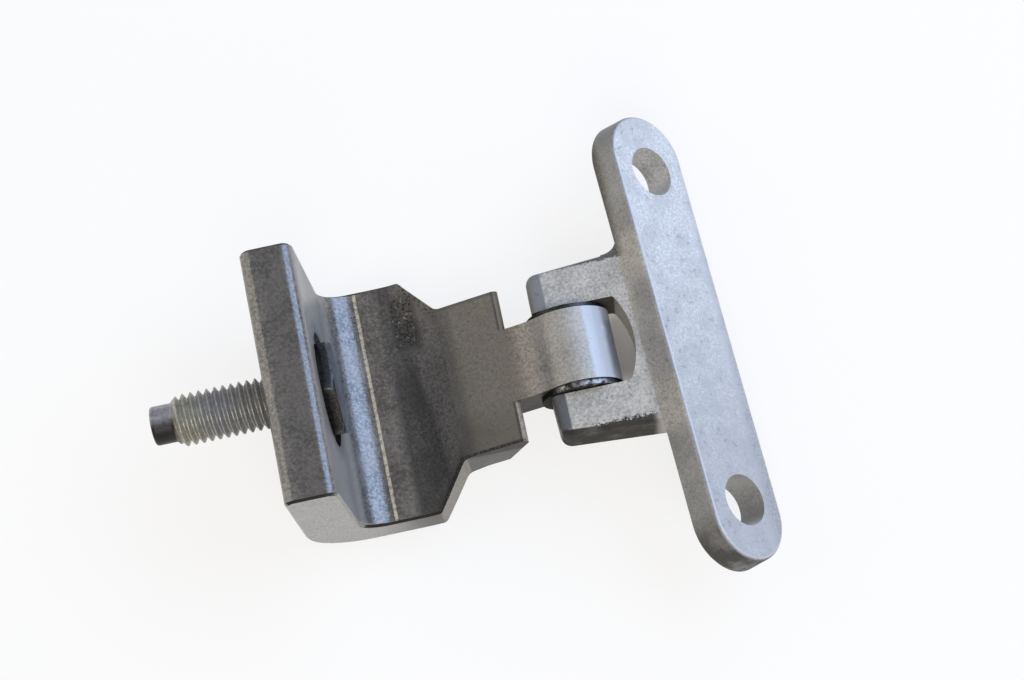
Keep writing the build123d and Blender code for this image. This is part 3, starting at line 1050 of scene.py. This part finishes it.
class HINGE_OT_plate_leaf(bpy.types.Operator):
    """Cast zinc on the plate leaf, and the hollow web beside its far ear"""

    bl_idname = "hinge.plate_leaf"
    bl_label = "Plate leaf finish"

    def execute(self, context):
        zinc = zinc_cast(context.scene.hinge_finish)
        dress("plate_leaf", zinc)
        web = add_mesh("ear_web", *web_arrays(context.scene.hinge_plate))
        web.data.materials.append(zinc)
        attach(web, "lid_side")
        return {"FINISHED"}


class HINGE_OT_pin_and_bushes(bpy.types.Operator):
    """Steel on the hinge pin and its bushes"""

    bl_idname = "hinge.pin_and_bushes"
    bl_label = "Pin and bushes finish"

    def execute(self, context):
        dress("hinge_pin", plain_steel("pin_steel", PIN_GREY, PIN_ROUGHNESS))
        near, far = sorted(("bush_left", "bush_right"), key=lambda node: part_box(node)[0][1])
        dress(near, bush_steel(context.scene.hinge_finish))
        dress(far, plain_steel("bush_oily", BUSH_OILY, OILY_ROUGHNESS))
        return {"FINISHED"}


# The stage: the picture's width, the camera, the floor, and its shadow beneath the knuckle.
PHOTO_WIDTH_PX = 1024
SENSOR_WIDTH_MM = 36.0
CLIP_START = 0.01
FLOOR_HALF = 3.0
FLOOR_GAP = 0.2 * MM
FLOOR_COLOUR = (0.96, 0.92, 0.85)
FLOOR_ROUGHNESS = 0.9
FLOOR_WHITENESS = 0.78
SHADOW_X, SHADOW_Y = HINGE.x + 9.0 * MM, 3.5 * MM
SHADOW_REACH = mm(4.0, 11.0)

# The lights: the point that the lamps are turned to, each lamp's place, width and height, and their colours.
LAMP_TARGET = Vector((0.03, 0.0, 0.0))
WINDOW_LAMP = ((0.60, 0.22, 0.53), (1.2, 0.75))
FILL_LAMP = ((-0.70, 0.25, 0.45), (0.7, 1.0))
FRONT_LAMP = ((0.05, -0.65, 0.75), (0.6, 0.6))
FILL_COLOUR = (1.0, 0.98, 0.95)
FRONT_COLOUR = (1.0, 0.96, 0.90)
ROOM_COLOUR = (1.0, 0.97, 0.93, 1.0)


def floor_material():
    """Pale floor, white to the eye and to gloss, with a faint shadow and a full one under the knuckle."""
    material = bpy.data.materials.new("pale_floor")
    material.use_nodes = True
    tree = material.node_tree
    nodes = Nodes(tree)
    shader = tree.nodes["Principled BSDF"]
    nodes.feed(shader.inputs["Base Color"], FLOOR_COLOUR)
    nodes.feed(shader.inputs["Roughness"], FLOOR_ROUGHNESS)
    path = tree.nodes.new("ShaderNodeLightPath").outputs
    seen = nodes.largest(path["Is Camera Ray"], path["Is Glossy Ray"], path["Is Transmission Ray"])
    x, y, _ = nodes.axes("Object")
    open_floor = nodes.fade(nodes.distance(nodes.less(x, SHADOW_X), nodes.less(y, SHADOW_Y)), *SHADOW_REACH)
    white = tree.nodes.new("ShaderNodeEmission")
    nodes.feed(white.inputs["Color"], (1.0, 1.0, 1.0))
    mix = tree.nodes.new("ShaderNodeMixShader")
    nodes.feed(mix.inputs["Fac"], nodes.product(seen, open_floor, FLOOR_WHITENESS))
    nodes.feed(mix.inputs[1], shader.outputs[0])
    nodes.feed(mix.inputs[2], white.outputs[0])
    nodes.feed(tree.nodes["Material Output"].inputs["Surface"], mix.outputs[0])
    return material


def add_lamp(name, place, size, power, colour):
    """A soft rectangular lamp at a place, turned towards the hinge."""
    data = bpy.data.lights.new(name, "AREA")
    data.shape = "RECTANGLE"
    data.size, data.size_y = size
    data.energy = power
    data.color = colour
    lamp = bpy.data.objects.new(name, data)
    lamp.location = place
    lamp.rotation_euler = (LAMP_TARGET - Vector(place)).to_track_quat("-Z", "Y").to_euler()
    bpy.context.scene.collection.objects.link(lamp)


def add_camera(stage):
    """The camera at the eye, aimed at a point and rolled about its view."""
    data = bpy.data.cameras.new("camera")
    data.sensor_width = SENSOR_WIDTH_MM
    data.lens = stage.focal_px * data.sensor_width / PHOTO_WIDTH_PX
    data.clip_start = CLIP_START
    eye = Vector(stage.eye)
    ahead = (Vector(stage.aim) - eye).normalized()
    right = ahead.cross(Vector((0, 0, 1))).normalized()
    above = right.cross(ahead)
    across = math.cos(stage.roll) * right + math.sin(stage.roll) * above
    up = -math.sin(stage.roll) * right + math.cos(stage.roll) * above
    camera = bpy.data.objects.new("camera", data)
    camera.matrix_world = Matrix.Translation(eye) @ Matrix((across, up, -ahead)).transposed().to_4x4()
    bpy.context.scene.collection.objects.link(camera)
    bpy.context.scene.camera = camera


class HINGE_OT_stage(bpy.types.Operator):
    """Floor, lamps, room light and camera"""

    bl_idname = "hinge.stage"
    bl_label = "Stage"

    def execute(self, context):
        stage = context.scene.hinge_stage
        low = CAD_BOX[0][2] - FLOOR_GAP
        corners = [(-1, -1), (1, -1), (1, 1), (-1, 1)]
        points = np.array([(FLOOR_HALF * x, FLOOR_HALF * y, low) for x, y in corners])
        floor = add_mesh("floor", points, np.array([(0, 1, 2, 3)]))
        floor.data.materials.append(floor_material())
        add_lamp("window", *WINDOW_LAMP, stage.sky_power, stage.sky_colour)
        add_lamp("fill", *FILL_LAMP, stage.fill_power, FILL_COLOUR)
        add_lamp("front", *FRONT_LAMP, stage.front_power, FRONT_COLOUR)
        world = bpy.data.worlds.new("room")
        world.use_nodes = True
        room = world.node_tree.nodes["Background"].inputs
        room["Color"].default_value = ROOM_COLOUR
        room["Strength"].default_value = stage.room_light
        context.scene.world = world
        context.scene.view_settings.view_transform = "Standard"
        add_camera(stage)
        return {"FINISHED"}


class HINGE_PT_panel(bpy.types.Panel):
    """Lists the hinge's operators"""

    bl_label = "Trunk lid hinge"
    bl_space_type = "VIEW_3D"
    bl_region_type = "UI"
    bl_category = "Hinge"

    def draw(self, context):
        for operator in OPERATORS:
            self.layout.operator(operator.bl_idname)


SETTINGS = {
    "hinge_stud": HingeStudSettings,
    "hinge_leaf": HingeLeafSettings,
    "hinge_plate": HingePlateSettings,
    "hinge_finish": HingeFinishSettings,
    "hinge_stage": HingeStageSettings,
}
OPERATORS = (
    HINGE_OT_stud_leaf,
    HINGE_OT_plate_leaf,
    HINGE_OT_clamp_stud,
    HINGE_OT_pin_and_bushes,
    HINGE_OT_stage,
)
CLASSES = (*SETTINGS.values(), *OPERATORS, HINGE_PT_panel)


def register():
    """Adds the classes and the settings to Blender."""
    for cls in CLASSES:
        bpy.utils.register_class(cls)
    for name, group in SETTINGS.items():
        setattr(bpy.types.Scene, name, bpy.props.PointerProperty(type=group))


def unregister():
    """Takes the settings and the classes out of Blender again."""
    for name in SETTINGS:
        delattr(bpy.types.Scene, name)
    for cls in reversed(CLASSES):
        bpy.utils.unregister_class(cls)


def main():
    """Registers the add-on's classes and settings, then builds every piece and the stage."""
    register()
    bpy.ops.hinge.stud_leaf()
    bpy.ops.hinge.plate_leaf()
    bpy.ops.hinge.clamp_stud()
    bpy.ops.hinge.pin_and_bushes()
    bpy.ops.hinge.stage()


if __name__ == "__main__":
    main()
